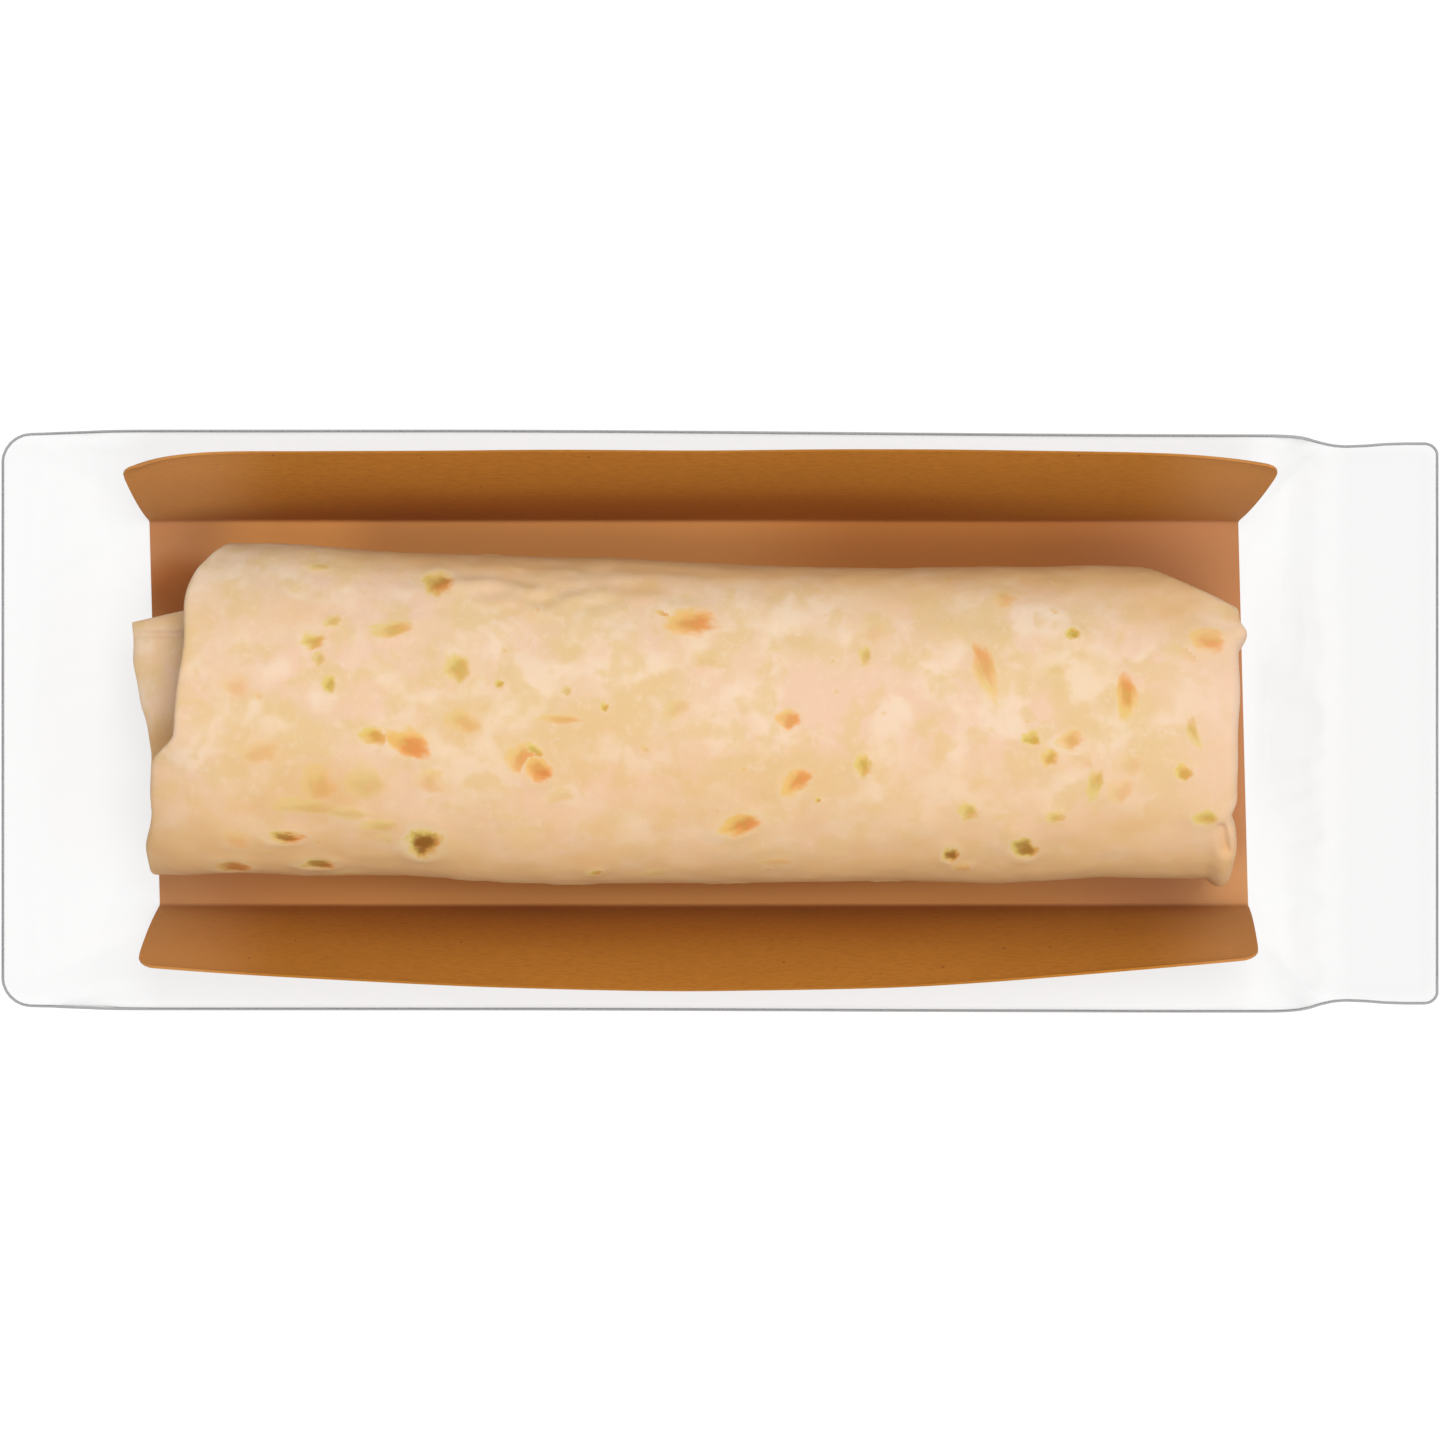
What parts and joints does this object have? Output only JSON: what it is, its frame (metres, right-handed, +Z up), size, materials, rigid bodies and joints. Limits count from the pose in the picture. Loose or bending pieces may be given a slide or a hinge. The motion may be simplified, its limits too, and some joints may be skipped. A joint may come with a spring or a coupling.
{
  "type": "grilled chicken wrap",
  "caption": "Rolled flour tortilla wrap lying in an open-ended kraft board tray, sealed in a clear film pack with a flat end seal; it rests flat on its tray floor.",
  "frame": {"origin": "centre of the pack's bounding box, on the surface that the tray's floor lies on", "axes": "+X along the roll from the pack's folded end to its end seal, +Y across the tray, +Z up"},
  "size_m": [0.2488, 0.099, 0.0462],
  "materials": {
    "film": "gloss",
    "kraft_board": "matte",
    "tortilla": "matte"
  },
  "bodies": {
    "root": {"film_pack": "film"}
  },
  "joints": []
}
